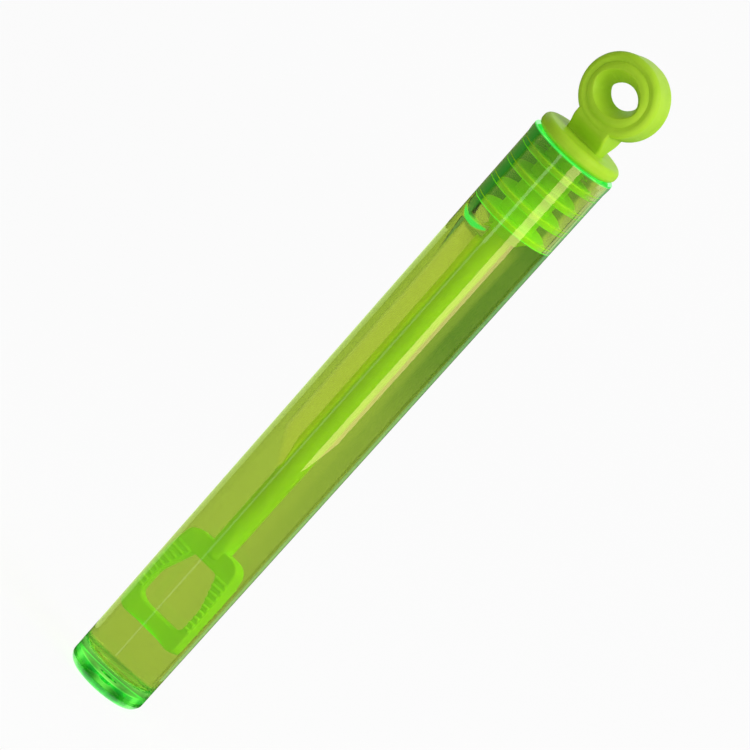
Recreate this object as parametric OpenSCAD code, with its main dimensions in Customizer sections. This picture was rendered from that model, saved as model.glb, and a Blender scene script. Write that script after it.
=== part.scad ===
/* [Tube] */
// Height of the tube from its foot to its rim
tube_h = 105; // [70:1:160]
// Outside diameter just under the rim
mouth_d = 14.3; // [13:0.1:20]
// Outside diameter at the foot, smaller because the tube is drafted to leave its mould
base_d = 12.9; // [12.6:0.1:18]
// Thickness of the tube's wall
wall = 1.45; // [0.8:0.05:1.6]
// Height of the thin bead round the rim
bead_h = 0.9; // [0.4:0.1:2]
// How far the bead stands out from the wall
bead_stand = 0.1; // [0.05:0.05:0.4]
// Width of the chamfer that leads the stopper into the mouth
lead_in = 0.3; // [0.1:0.05:0.6]
// Depth of the recess under the floor
recess_depth = 2.1; // [1:0.1:4]
// Thickness of the floor
floor_t = 1.6; // [0.8:0.1:3]
// Width of the ring that the tube stands on
foot_w = 0.9; // [0.5:0.1:1.5]
// Radius of the heel between the wall and the foot
heel_r = 1.6; // [0.5:0.1:2.5]
// Radius between the wall and the floor inside
floor_fillet = 0.8; // [0.3:0.1:1.5]
// Diameter of the stub that the moulding gate leaves under the floor
gate_d = 2; // [1:0.1:3]
// Length of that stub
gate_h = 1.2; // [0.4:0.1:1.8]

/* [Stopper] */
// Thickness of the flange that covers the mouth
flange_t = 2.2; // [2:0.1:4]
// How far the flange's edge stays inside the tube's outside
flange_inset = 0.2; // [0:0.05:0.6]
// Radius of the flange's rounded edge
flange_edge_r = 0.95; // [0.3:0.05:1]
// Gap that is left between the flange and the rim
seat_gap = 0.1; // [0.05:0.05:0.5]
// Diameter of the plug's core between its sealing discs
core_d = 6.4; // [5:0.1:7.5]
// Number of sealing discs
disc_count = 4; // [2:1:6]
// Thickness of a sealing disc
disc_t = 1.1; // [0.6:0.1:1.8]
// Distance from one sealing disc to the next
disc_pitch = 3.45; // [2.4:0.05:5]
// Clearance between a disc's edge and the bore
disc_clearance = 0.07; // [0.02:0.01:0.1]
// Radius of a disc's rounded edge
disc_edge_r = 0.3; // [0.1:0.05:0.3]
// Length of the tapered boss that grips the wand's stem
boss_h = 1.9; // [1:0.1:4]
// Wall of the boss at its thin end
boss_wall = 0.4; // [0.2:0.05:1]
// Depth of the socket for the stem, from the boss's thin end
socket_depth = 11; // [6:0.5:13]

/* [Ring handle] */
// Width of the neck between the flange and the ring
neck_w = 6.6; // [5:0.1:8]
// Thickness of the neck at the flange
neck_t = 2.8; // [2.4:0.1:4]
// Thickness that the neck grows to inside the ring
neck_top_t = 5.3; // [4:0.1:5.4]
// Share of the neck's height over which it grows
neck_grow_share = 0.55; // [0.3:0.05:1]
// Radius of the neck's upright edges
neck_edge_r = 0.4; // [0.2:0.1:0.8]
// Clear height of the neck beside the ring
neck_h = 3.3; // [1.5:0.1:6]
// Diameter of the ring's round ends, which is also its height
ring_d = 12.3; // [12:0.1:18]
// How much wider than high the ring is
ring_stretch = 0.7; // [0.1:0.1:2]
// Thickness of the ring's rim
rim_t = 5.5; // [5:0.1:6.4]
// Radius of the rim's rounded edges
rim_r = 0.9; // [0.4:0.1:1.2]
// Thickness of the ring's hub
hub_t = 6.0; // [5.4:0.1:7]
// Height of the crease between the hub and the rim
hub_d = 9.3; // [9:0.1:10]
// Depth of that crease below the hub's face
crease_depth = 0.4; // [0.3:0.1:0.9]
// Radius of the hub's shoulder above the crease
hub_edge_r = 1.3; // [0.9:0.1:1.6]
// Width of the ring's eye at its narrowest
eye_w = 5.1; // [4.6:0.1:5.8]
// Height of the eye at its narrowest
eye_h = 3.7; // [3.2:0.1:4.2]
// Radius of the eye's two tips
eye_tip_r = 0.8; // [0.6:0.1:1.2]
// How far the eye's sloping sides widen it at the faces
eye_flare = 1.6; // [1:0.1:1.8]
// Share of that which is a straight slope, before the soft edge
eye_slope_share = 0.85; // [0:0.05:0.95]
// Depth of the straight stretch between the two slopes
eye_land = 0.2; // [0.2:0.1:1]

/* [Wand] */
// Diameter of the stem where it leaves the stopper
stem_d = 3.0; // [2.4:0.1:4]
// Diameter of the stem where it meets the loop
stem_end_d = 2.7; // [2:0.1:3.6]
// Gap round the stem's end in its socket, which presses together
press_gap = 0.01; // [0:0.005:0.02]
// Depth that stays empty above the stem's end in the socket
socket_spare = 0.5; // [0.2:0.1:2]
// Height of the loop's lobes above the floor of the tube
loop_lift = 6.9; // [5.5:0.1:15]
// Length of the loop
loop_len = 17.0; // [14:0.5:24]
// Thickness of the loop
loop_t = 2.0; // [1.6:0.1:3]
// Clearance between the loop and the bore
loop_clearance = 0.35; // [0.1:0.05:0.6]
// Width of the loop at its shoulders
shoulder_w = 7.8; // [7:0.1:8.6]
// Radius of the shoulders
shoulder_r = 2.1; // [1:0.1:2.6]
// Share of the loop's length that the sloping flanks below the shoulders take
flank_share = 0.38; // [0.25:0.01:0.45]
// Radius of the loop's bottom corners
toe_r = 1.2; // [0.6:0.1:1.5]
// Rise of the loop's bottom edge at its middle
toe_rise = 0.8; // [0:0.1:1.5]
// Height of the bar above the hole
top_bar = 3.4; // [2.6:0.1:4.5]
// Height of the bar under the hole, at the lobes
bottom_bar = 3.4; // [2.4:0.1:4.5]
// Width of the hole at its top
hole_top_w = 3.9; // [2.8:0.1:4.5]
// Width of the side rails beside the widest part of the hole
rail_w = 1.25; // [1.1:0.05:2]
// Share of the hole's height that the flared stretch at its top takes
hole_flare_share = 0.53; // [0.3:0.01:0.6]
// Radius of the hole's top corners
hole_top_r = 0.7; // [0.3:0.1:1]
// Radius of the hole's bottom corners
hole_toe_r = 1.3; // [0.6:0.1:1.8]
// Rounding of the loop's edges
soft_edge = 0.35; // [0.2:0.05:0.5]
// Distance between the ribs that hold the liquid
rib_pitch = 1.08; // [0.8:0.02:2]
// Width of a rib
rib_w = 0.56; // [0.3:0.02:0.8]
// Distance between the ends of the ribs and the rail's edges
rib_margin = 0.2; // [0.1:0.05:0.4]

/* [Hidden] */

$fn = 96;
cut_overrun = 1;
tube_green = [0.61, 0.72, 0.20, 0.55];
stopper_lime = [0.60, 0.78, 0.20];
wand_lime = [0.52, 0.80, 0.18];

// Steps of an arc in a profile, of a corner in the loop's outline and of an arc in the ring's eye
arc_steps = 8;
corner_steps = 7;
eye_steps = 12;
// A rib's own facets, few because there are many ribs
rib_sides = 16;

mouth_r = mouth_d / 2;
base_r = base_d / 2;
floor_z = recess_depth + floor_t;

// Outside and bore radii of the drafted tube at a height
function outside_r(z) = base_r + (mouth_r - base_r) * z / tube_h;
function bore_r(z) = outside_r(z) - wall;

// Points on an arc from one angle to another
function arc(centre, r, from, to, steps = arc_steps) = [
    for (i = [0:steps])
        centre + r * [cos(from + (to - from) * i / steps), sin(from + (to - from) * i / steps)]
];
function all_but_last(points) = [for (i = [0:len(points) - 2]) points[i]];

// Places of the stopper's parts along the tube
flange_z = tube_h + seat_gap;
flange_r = mouth_r - flange_inset;
function disc_bottom(i) = tube_h - disc_pitch * (i + 1);
plug_end_z = disc_bottom(disc_count - 1);
boss_end_z = plug_end_z - boss_h;
socket_r = stem_d / 2;
socket_top_z = boss_end_z + socket_depth;
ring_base_z = flange_z + flange_t + neck_h;
ring_end_x = ring_stretch / 2;
ring_z = ring_base_z + sqrt(pow(ring_d / 2, 2) - pow(neck_w / 2 - ring_end_x, 2));

// The loop's height on the wand, and the widest that its edges can be in the bore
loop_z = floor_z + loop_lift;
loop_top_z = loop_z + loop_len;
edge_half_t = loop_t / 2 - soft_edge;
loop_half_w = sqrt(pow(bore_r(loop_z) - loop_clearance, 2) - pow(edge_half_t, 2));
hole_low_z = loop_z + bottom_bar;
hole_top_z = loop_top_z - top_bar;
hole_half_w = loop_half_w - rail_w;
flank_h = loop_len * flank_share;
hole_flare_h = (hole_top_z - hole_low_z) * hole_flare_share;

// Outlines of the loop and its hole, anticlockwise, each with a radius for every corner
loop_corners = [
    [0, loop_z + toe_rise],
    [loop_half_w, loop_z],
    [loop_half_w, loop_top_z - flank_h],
    [shoulder_w / 2, loop_top_z],
    [-shoulder_w / 2, loop_top_z],
    [-loop_half_w, loop_top_z - flank_h],
    [-loop_half_w, loop_z]
];
bend_r = 2 * loop_len;
loop_radii = [loop_len / 3, toe_r, bend_r, shoulder_r, shoulder_r, bend_r, toe_r];
hole_corners = [
    [hole_half_w, hole_low_z],
    [hole_half_w, hole_top_z - hole_flare_h],
    [hole_top_w / 2, hole_top_z],
    [-hole_top_w / 2, hole_top_z],
    [-hole_half_w, hole_top_z - hole_flare_h],
    [-hole_half_w, hole_low_z]
];
hole_bend_r = loop_len / 2;
hole_radii = [hole_toe_r, hole_bend_r, hole_top_r, hole_top_r, hole_bend_r, hole_toe_r];

// Share of the soft edge that each layer is drawn in by, and that it stands in from the face
edge_in_share = [1, 0.42, 0.12, 0];
edge_depth_share = [0, 0.12, 0.42, 1];

function unit(v) = v / norm(v);
function turns_left(a, b, c) = cross(b - a, c - b) > 0;

// A corner moved in by a distance from both of its edges
function inset_corner(a, b, c, by) =
    let (e = unit(b - a), f = unit(c - b), m = [-e.y, e.x], n = [-f.y, f.x])
    b + by * (m + n) / (1 + m * n);

// Points on the round of one corner
function round_corner(a, b, c, r) =
    let (
        u = unit(a - b), v = unit(c - b), half = acos(u * v) / 2,
        centre = b + unit(u + v) * r / sin(half),
        p = b + u * r / tan(half) - centre, q = b + v * r / tan(half) - centre,
        start = atan2(p.y, p.x), turn = atan2(cross(p, q), p * q)
    )
    arc(centre, r, start, start + turn, corner_steps);

// A whole outline, drawn in by a distance, with its corners rounded
function outline(corners, radii, by) =
    let (
        n = len(corners),
        before = [for (i = [0:n - 1]) corners[(i + n - 1) % n]],
        after = [for (i = [0:n - 1]) corners[(i + 1) % n]],
        moved = [for (i = [0:n - 1]) inset_corner(before[i], corners[i], after[i], by)],
        rounds = [for (i = [0:n - 1]) radii[i] + (turns_left(before[i], corners[i], after[i]) ? -by : by)]
    )
    [for (i = [0:n - 1]) each round_corner(moved[(i + n - 1) % n], moved[i], moved[(i + 1) % n], rounds[i])];

// A solid built up along Z from one outline for each of its layers
module layered_solid(rings, places) {
    n = len(rings[0]);
    last = len(places) - 1;
    points = [for (k = [0:last]) for (p = rings[k]) [p.x, p.y, places[k]]];
    sides = [
        for (k = [0:last - 1]) for (i = [0:n - 1])
            [k * n + i, (k + 1) * n + i, (k + 1) * n + (i + 1) % n, k * n + (i + 1) % n]
    ];
    bottom = [for (i = [0:n - 1]) i];
    top = [for (i = [n - 1:-1:0]) last * n + i];
    polyhedron(points = points, faces = concat([bottom], sides, [top]));
}

// Places and insets of the layers from one face of the loop to the other
half_places = [for (s = edge_depth_share) -loop_t / 2 + soft_edge * s];
half_insets = [for (s = edge_in_share) soft_edge * s];
layers = len(half_places);
loop_places = concat(half_places, [for (k = [layers - 1:-1:0]) -half_places[k]]);
loop_insets = concat(half_insets, [for (k = [layers - 1:-1:0]) half_insets[k]]);
cutter_end = loop_t / 2 + cut_overrun;
hole_places = concat([-cutter_end], loop_places, [cutter_end]);
hole_insets = concat([-soft_edge], -loop_insets, [-soft_edge]);

// The ring's eye is an oval of four arcs, two tips and the two arches that join them smoothly
eye_tip_x = eye_w / 2 - eye_tip_r;
eye_arch_r = (pow(eye_tip_x, 2) + pow(eye_h / 2, 2) - pow(eye_tip_r, 2)) / (eye_h - 2 * eye_tip_r);
eye_drop = eye_arch_r - eye_h / 2;
eye_meet = atan2(eye_drop, eye_tip_x);
function eye_outline(wider) = concat(
    all_but_last(arc([eye_tip_x, 0], eye_tip_r + wider, -eye_meet, eye_meet, eye_steps)),
    all_but_last(arc([0, -eye_drop], eye_arch_r + wider, eye_meet, 180 - eye_meet, eye_steps)),
    all_but_last(arc([-eye_tip_x, 0], eye_tip_r + wider, 180 - eye_meet, 180 + eye_meet, eye_steps)),
    all_but_last(arc([0, eye_drop], eye_arch_r + wider, 180 + eye_meet, 360 - eye_meet, eye_steps))
);

// Places of the eye's layers, and how much wider each is, from one face to the other
eye_turns = [for (i = [eye_steps:-1:0]) 90 * i / eye_steps];
eye_depth = (hub_t - eye_land) / 2;
eye_near = [for (a = eye_turns) -eye_land / 2 - eye_depth * sin(a)];
eye_near_wider = [
    for (a = eye_turns)
        eye_flare * (eye_slope_share * sin(a) + (1 - eye_slope_share) * (1 - cos(a)))
];
eye_end = hub_t / 2 + cut_overrun;
eye_places = concat([-eye_end], eye_near, [for (k = [eye_steps:-1:0]) -eye_near[k]], [eye_end]);
eye_wider = concat([eye_flare], eye_near_wider, [for (k = [eye_steps:-1:0]) eye_near_wider[k]], [eye_flare]);

// The neck's section at a share of its height, where its thickness grows smoothly into the ring
neck_steps = 20;
neck_foot_z = flange_z + flange_t / 2;
neck_base_z = flange_z + flange_t;
neck_top_z = ring_z - sqrt(pow(hub_d / 2, 2) - pow(neck_w / 2 - ring_end_x, 2));
function neck_section(share) =
    let (
        grown = (1 - cos(180 * min(1, share / neck_grow_share))) / 2,
        x = neck_w / 2 - neck_edge_r,
        y = (neck_t + (neck_top_t - neck_t) * grown) / 2 - neck_edge_r
    )
    concat(
        arc([x, y], neck_edge_r, 0, 90),
        arc([-x, y], neck_edge_r, 90, 180),
        arc([-x, -y], neck_edge_r, 180, 270),
        arc([x, -y], neck_edge_r, 270, 360)
    );

// Half the width at a height, for a shape that widens downwards from its top and then runs straight
function widened(top_z, top_half_w, half_w, over_h, z) =
    top_half_w + (half_w - top_half_w) * min(1, (top_z - z) / over_h);
function hole_edge_x(z) = widened(hole_top_z, hole_top_w / 2, hole_half_w, hole_flare_h, z);
function loop_edge_x(z) = widened(loop_top_z, shoulder_w / 2, loop_half_w, flank_h, z);

module tube() {
    heel_centre = [outside_r(heel_r) - heel_r, heel_r];
    recess_r = heel_centre.x - foot_w;
    color(tube_green) {
        rotate_extrude()
            polygon(concat(
                [[0, recess_depth], [recess_r, recess_depth], [recess_r, 0]],
                arc(heel_centre, heel_r, -90, 0),
                [
                    [mouth_r, tube_h - 2 * bead_h],
                    [mouth_r + bead_stand, tube_h - bead_h],
                    [mouth_r + bead_stand, tube_h - bead_stand],
                    [mouth_r, tube_h],
                    [bore_r(tube_h) + lead_in, tube_h],
                    [bore_r(tube_h), tube_h - lead_in]
                ],
                arc([bore_r(floor_z) - floor_fillet, floor_z + floor_fillet], floor_fillet, 0, -90),
                [[0, floor_z]]
            ));
        translate([0, 0, recess_depth - gate_h])
            cylinder(d = gate_d, h = gate_h + floor_t / 2);
    }
}

// One sealing disc, which follows the bore's draft
module sealing_disc(z) {
    low_r = bore_r(z) - disc_clearance;
    high_r = bore_r(z + disc_t) - disc_clearance;
    rotate_extrude()
        polygon(concat(
            [[0, z]],
            arc([low_r - disc_edge_r, z + disc_edge_r], disc_edge_r, -90, 0),
            arc([high_r - disc_edge_r, z + disc_t - disc_edge_r], disc_edge_r, 0, 90),
            [[0, z + disc_t]]
        ));
}

module flange() {
    edge_x = flange_r - flange_edge_r;
    rotate_extrude()
        polygon(concat(
            [[0, flange_z]],
            arc([edge_x, flange_z + flange_edge_r], flange_edge_r, -90, 0),
            arc([edge_x, flange_z + flange_t - flange_edge_r], flange_edge_r, 0, 90),
            [[0, flange_z + flange_t]]
        ));
}

module neck() {
    shares = [for (i = [0:neck_steps]) i / neck_steps];
    layered_solid(
        concat([neck_section(0)], [for (share = shares) neck_section(share)]),
        concat([neck_foot_z], [for (share = shares) neck_base_z + (neck_top_z - neck_base_z) * share])
    );
}

// The ring's section turns about an axis along Y at each round end, and runs straight between them
module ring_disc() {
    half = hub_t / 2;
    shoulder_end = asin((hub_edge_r - crease_depth) / hub_edge_r);
    shoulder_x = hub_d / 2 - hub_edge_r * cos(shoulder_end);
    front = concat(
        [[0, half]],
        arc([shoulder_x, half - hub_edge_r], hub_edge_r, 90, shoulder_end),
        arc([ring_d / 2 - rim_r, rim_t / 2 - rim_r], rim_r, 90, 0)
    );
    section = concat(front, [for (i = [len(front) - 1:-1:0]) [front[i].x, -front[i].y]]);
    rotate([90, 0, 0]) {
        for (side = [0, 180])
            rotate([0, 0, side])
                translate([ring_end_x, 0, 0])
                    rotate([0, 0, -90])
                        rotate_extrude(angle = 180)
                            polygon(section);
        rotate([90, 0, 90])
            linear_extrude(height = ring_stretch, center = true)
                polygon(concat(section, [for (i = [len(section) - 2:-1:1]) [-section[i].x, section[i].y]]));
    }
}

module ring_handle() {
    difference() {
        union() {
            neck();
            translate([0, 0, ring_z])
                ring_disc();
        }
        translate([0, 0, ring_z])
            rotate([90, 0, 0])
                layered_solid([for (w = eye_wider) eye_outline(w)], eye_places);
    }
}

module stopper() {
    color(stopper_lime) {
        difference() {
            union() {
                flange();
                translate([0, 0, plug_end_z])
                    cylinder(d = core_d, h = flange_z + flange_t / 2 - plug_end_z);
                translate([0, 0, boss_end_z])
                    cylinder(r1 = socket_r + boss_wall, r2 = core_d / 2, h = boss_h);
                for (i = [0:disc_count - 1])
                    sealing_disc(disc_bottom(i));
            }
            translate([0, 0, boss_end_z - cut_overrun])
                cylinder(r = socket_r, h = socket_depth + cut_overrun);
        }
        ring_handle();
    }
}

// Ribs across both faces of one side rail
module rail_ribs() {
    first_z = hole_low_z + hole_toe_r;
    count = floor((hole_top_z - first_z) / rib_pitch);
    for (i = [0:count]) {
        z = first_z + i * rib_pitch;
        from_x = hole_edge_x(z) + rib_margin;
        to_x = loop_edge_x(z) - rib_margin;
        for (side = [-1, 1])
            translate([from_x, side * loop_t / 2, z])
                rotate([0, 90, 0])
                    cylinder(d = rib_w, h = to_x - from_x, $fn = rib_sides);
    }
}

module wand() {
    stem_top_z = socket_top_z - socket_spare;
    stem_low_z = loop_top_z - stem_end_d / 2;
    color(wand_lime) {
        translate([0, 0, boss_end_z])
            cylinder(r = socket_r - press_gap, h = stem_top_z - boss_end_z);
        translate([0, 0, stem_low_z])
            cylinder(d1 = stem_end_d, d2 = stem_d - 2 * press_gap, h = boss_end_z - stem_low_z);
        translate([0, 0, stem_low_z])
            sphere(d = stem_end_d);
        rotate([90, 0, 0])
            difference() {
                layered_solid([for (by = loop_insets) outline(loop_corners, loop_radii, by)], loop_places);
                layered_solid([for (by = hole_insets) outline(hole_corners, hole_radii, by)], hole_places);
            }
        rail_ribs();
        mirror([1, 0, 0])
            rail_ribs();
    }
}

tube();
stopper();
wand();
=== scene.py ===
"""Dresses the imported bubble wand: tube, stopper, dipping wand and the solution inside."""

import math

import bpy
from mathutils import Matrix, Vector


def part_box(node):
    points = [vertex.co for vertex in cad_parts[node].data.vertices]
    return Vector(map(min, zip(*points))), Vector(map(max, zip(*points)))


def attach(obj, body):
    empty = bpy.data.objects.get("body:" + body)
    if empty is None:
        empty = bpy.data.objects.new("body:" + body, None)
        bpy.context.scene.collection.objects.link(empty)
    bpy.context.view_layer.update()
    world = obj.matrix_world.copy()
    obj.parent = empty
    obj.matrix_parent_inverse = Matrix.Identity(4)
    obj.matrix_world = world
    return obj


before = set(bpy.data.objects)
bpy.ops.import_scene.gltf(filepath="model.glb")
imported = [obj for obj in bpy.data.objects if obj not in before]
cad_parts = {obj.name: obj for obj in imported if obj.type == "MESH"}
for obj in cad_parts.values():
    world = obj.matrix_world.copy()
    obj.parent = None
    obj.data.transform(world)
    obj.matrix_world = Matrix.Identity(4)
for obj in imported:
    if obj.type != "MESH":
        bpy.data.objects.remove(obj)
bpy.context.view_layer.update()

bl_info = {
    "name": "Bubble Wand Dressing",
    "version": (1, 0, 0),
    "blender": (4, 5, 0),
    "location": "View3D > Sidebar > Bubble Wand",
    "description": "Finishes the tube, stopper and dipping wand, fills the tube and sets the stage",
    "category": "Object",
}

MM = 0.001
TUBE_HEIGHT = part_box("tube")[1].z


# Property groups


def colour_property(name, description, default):
    return bpy.props.FloatVectorProperty(
        name=name, description=description, subtype="COLOR", size=3, min=0, max=1, default=default
    )


def length_property(name, description, default, low=0):
    """A length in metres."""
    return bpy.props.FloatProperty(
        name=name, description=description, subtype="DISTANCE", unit="LENGTH", min=low, default=default
    )


def angle_property(name, description, default, low=-360):
    """An angle, given in degrees and kept in radians."""
    return bpy.props.FloatProperty(
        name=name, description=description, subtype="ANGLE", unit="ROTATION",
        min=math.radians(low), default=math.radians(default),
    )


class TubeSettings(bpy.types.PropertyGroup):
    tint: colour_property(
        "Tint", "Colour that light takes on in the tube's wall", (0.605, 0.713, 0.224)
    )
    # Painted glow: an emission that stands in for the light that the fluorescent wall gathers and lets
    # out at its rim and foot
    glow: colour_property(
        "Glow", "Fluorescent green that leaves the wall at its cut edges", (0.03, 0.90, 0.08)
    )
    # Painted shade: darker green of the painted ripples round the foot, which stand in for the light and
    # shade that the thick foot bends like a lens
    foot_painted_shade: colour_property(
        "Foot painted shade", "Green of the darker ripples round the foot", (0.015, 0.17, 0.01)
    )
    # Painted light: paler green of the painted ripples round the foot
    foot_painted_light: colour_property(
        "Foot painted light", "Green of the paler ripples round the foot", (0.15, 0.80, 0.08)
    )
    # Depth of the painted glow below the rim, and height of the painted glow above the foot
    rim_glow: length_property("Rim glow", "Depth of the glow below the rim", 0.35 * MM)
    foot_glow: length_property("Foot glow", "Height of the glow above the foot", 3.9 * MM)


class StopperSettings(bpy.types.PropertyGroup):
    lime: colour_property("Lime", "Colour of the stopper's plastic", (0.44, 0.72, 0.03))
    shade: colour_property(
        "Shade", "Deeper lime of the mottling in the plastic", (0.36, 0.64, 0.02)
    )
    # Painted light: the plug is the stopper's plastic, painted greener for the green light that it gets
    # inside the tube
    plug_painted_lime: colour_property(
        "Plug painted lime", "Colour of the plug, in the tube's green light", (0.40, 0.80, 0.03)
    )
    # Painted glow on the plug's lower end, for the light that it catches from the tube
    plug_glow: colour_property(
        "Plug glow", "Green light that the plug's lower end catches from the tube", (0.10, 0.26, 0.0)
    )
    plug_low: length_property("Plug low", "Height of the plug's lower end", 89.3 * MM)
    grain: length_property(
        "Grain", "Size of the grain in the moulded skin", 0.35 * MM, low=0.05 * MM
    )


class WandSettings(bpy.types.PropertyGroup):
    lime: colour_property("Lime", "Colour of the wand's plastic", (0.36, 0.70, 0.02))
    shade: colour_property(
        "Shade", "Deeper lime of the mottling in the plastic", (0.28, 0.62, 0.015)
    )
    # Painted glow of the stem and, greener, of the loop, for the light that they catch inside the tube
    stem_glow: colour_property(
        "Stem glow", "Light that the stem catches from the tube", (0.16, 0.24, 0.0)
    )
    loop_glow: colour_property(
        "Loop glow", "Greener light that the loop catches near the foot", (0.12, 0.38, 0.01)
    )


class SolutionSettings(bpy.types.PropertyGroup):
    tint: colour_property("Tint", "Colour of the bubble solution", (0.96, 0.98, 0.86))
    bore_radius_foot: length_property(
        "Bore radius at the foot", "The drafted bore's radius, carried on down to the foot",
        5.0 * MM, low=1 * MM,
    )
    bore_radius_rim: length_property(
        "Bore radius at the rim", "The drafted bore's radius at the rim", 5.7 * MM, low=1 * MM
    )
    disc_bottoms: bpy.props.FloatVectorProperty(
        name="Disc bottoms", description="Heights of the undersides of the plug's sealing discs",
        unit="LENGTH", size=4, default=(101.55 * MM, 98.1 * MM, 94.65 * MM, 91.2 * MM),
    )
    disc_thickness: length_property("Disc thickness", "Thickness of a sealing disc", 1.1 * MM)
    floor_height: length_property("Floor height", "Height of the tube's floor inside", 3.7 * MM)
    floor_fillet: length_property("Floor fillet", "Radius between the bore and the floor", 0.8 * MM)
    overlap: length_property(
        "Overlap", "How far the wetted face lies inside the wall, so that no air shows between",
        0.05 * MM,
    )
    fill_height: length_property(
        "Fill height", "Height that the solution reaches, up to the plug's last disc",
        91.25 * MM, low=10 * MM,
    )
    pocket_bottom: length_property(
        "Pocket bottom", "Height of the long air pocket's lower end", 42.6 * MM
    )
    pocket_slant: length_property(
        "Pocket slant", "Height over which the long air pocket's lower end widens to the left",
        5.5 * MM, low=1 * MM,
    )
    pocket_top: length_property(
        "Pocket top", "Height of the long air pocket's upper end", 87.9 * MM
    )
    pocket_azimuth: angle_property(
        "Pocket azimuth", "Direction of the long air pocket's straight right side round the bore", -84
    )
    pocket_width: angle_property(
        "Pocket width", "Half of the angle that the long air pocket takes up of the bore", 20.5, low=3
    )
    pocket_spread: angle_property(
        "Pocket spread", "How much further the long air pocket's top reaches round to the left",
        14, low=0,
    )
    pocket_depth: length_property(
        "Pocket depth", "How deep the long air pocket stands in from the wall", 1.0 * MM
    )
    cell_bottom: length_property(
        "Cell bottom", "Height of the lower end of the air cell under the plug", 88.75 * MM
    )
    cell_azimuth: angle_property("Cell azimuth", "Direction of the air cell round the bore", -120)
    cell_width: angle_property(
        "Cell width", "Half of the angle that the air cell takes up of the bore", 32, low=3
    )
    cell_depth: length_property(
        "Cell depth", "How deep the air cell stands in from the wall", 2.0 * MM
    )
    # Painted glow: the bridge between the two air pockets is painted with a bright green glow
    glow: colour_property(
        "Glow", "Fluorescent green that the bridge between the two air pockets catches",
        (0.01, 0.6, 0.13),
    )


class StageSettings(bpy.types.PropertyGroup):
    camera_azimuth: angle_property(
        "Camera azimuth", "Direction of the camera from the object, from the front round to the right",
        22,
    )
    camera_elevation: angle_property(
        "Camera elevation", "How far the camera looks down on the object", 11.7
    )
    camera_roll: angle_property("Camera roll", "Roll that leans the tube to the upper right", 41.7)
    camera_distance: length_property(
        "Camera distance", "Distance from the camera to the object", 1.45, low=0.3
    )
    frame_width: length_property(
        "Frame width", "Width that the picture takes in at the object", 108.3 * MM, low=50 * MM
    )
    aim_height: length_property(
        "Aim height", "Height on the tube's axis that the camera looks at", 61.3 * MM
    )
    aim_right: length_property(
        "Aim right", "How far the aim lies to the camera's right of the axis", -0.2 * MM, low=-1
    )
    surroundings: bpy.props.FloatProperty(
        name="Surroundings", description="Strength of the soft light from all around",
        min=0, default=0.63,
    )
    key_power: bpy.props.FloatProperty(
        name="Key power", description="Power of the soft key lamp", unit="POWER", min=0, default=5,
    )


class BubbleWandSettings(bpy.types.PropertyGroup):
    tube: bpy.props.PointerProperty(type=TubeSettings)
    stopper: bpy.props.PointerProperty(type=StopperSettings)
    wand: bpy.props.PointerProperty(type=WandSettings)
    solution: bpy.props.PointerProperty(type=SolutionSettings)
    stage: bpy.props.PointerProperty(type=StageSettings)


# Building node trees

# Colour inputs and output of a mix node, which has sockets of every kind
COLOUR_A, COLOUR_B, COLOUR_OUT = 6, 7, 2
SMOOTH = {"interpolation_type": "SMOOTHSTEP"}
BLACK, WHITE = (0, 0, 0), (1, 1, 1)
# How much the long flow lines and the clouds of colour are drawn out upwards
FLOW_STRETCH, CLOUD_STRETCH = (1.0, 1.0, 0.06), (1.0, 1.0, 0.4)


def add(tree, kind, x, y, settings=None, **values):
    """A node of a tree at a place, with its settings and the plain values of its inputs."""
    made = tree.nodes.new(kind)
    made.location = (x, y)
    for name, value in (settings or {}).items():
        setattr(made, name, value)
    for name, value in values.items():
        made.inputs[name.replace("_", " ")].default_value = value
    return made


def join(tree, source, output, target, slot):
    """Joins an output to an input. A slot or output is a name or a number."""
    tree.links.new(source.outputs[output], target.inputs[slot])


def math_node(tree, operation, x, y, *numbers):
    """A math node with the numbers of its inputs, None where a link comes in."""
    made = add(tree, "ShaderNodeMath", x, y, {"operation": operation})
    for slot, number in enumerate(numbers):
        if number is not None:
            made.inputs[slot].default_value = number
    return made


def colour_mix(tree, x, y, first=None, second=None):
    """A mix of two colours, each None where a link comes in."""
    made = add(tree, "ShaderNodeMix", x, y, {"data_type": "RGBA"})
    for slot, colour in ((COLOUR_A, first), (COLOUR_B, second)):
        if colour is not None:
            made.inputs[slot].default_value = (*colour, 1)
    return made


def new_group(name, inputs, outputs):
    """An empty shader node group. Inputs are (name, kind, default), outputs (name, kind)."""
    group = bpy.data.node_groups.new(name, "ShaderNodeTree")
    for label, kind, default in inputs:
        group.interface.new_socket(label, in_out="INPUT", socket_type=kind).default_value = default
    for label, kind in outputs:
        group.interface.new_socket(label, in_out="OUTPUT", socket_type=kind)
    start = add(group, "NodeGroupInput", -900, 0)
    end = add(group, "NodeGroupOutput", 600, 0)
    return group, start, end


def place_group(tree, name, x, y, **values):
    """A shared group in a tree, with the plain values of its inputs. Each group is made once."""
    group = bpy.data.node_groups.get(name) or GROUP_MAKERS[name]()
    return add(tree, "ShaderNodeGroup", x, y, {"node_tree": group}, **values)


def height_band_group():
    """A mask that is 1 below one height, 0 above another and smooth between them."""
    group, start, end = new_group(
        "Height Band",
        [("Full Below", "NodeSocketFloat", 0.0), ("None Above", "NodeSocketFloat", 1.0)],
        [("Mask", "NodeSocketFloat")],
    )
    place = add(group, "ShaderNodeTexCoord", -900, -200)
    split = add(group, "ShaderNodeSeparateXYZ", -650, -200)
    ramp = add(group, "ShaderNodeMapRange", -300, 0, SMOOTH, To_Min=1.0, To_Max=0.0)
    join(group, place, "Object", split, 0)
    join(group, split, "Z", ramp, "Value")
    join(group, start, "Full Below", ramp, "From Min")
    join(group, start, "None Above", ramp, "From Max")
    join(group, ramp, "Result", end, "Mask")
    return group


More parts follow.
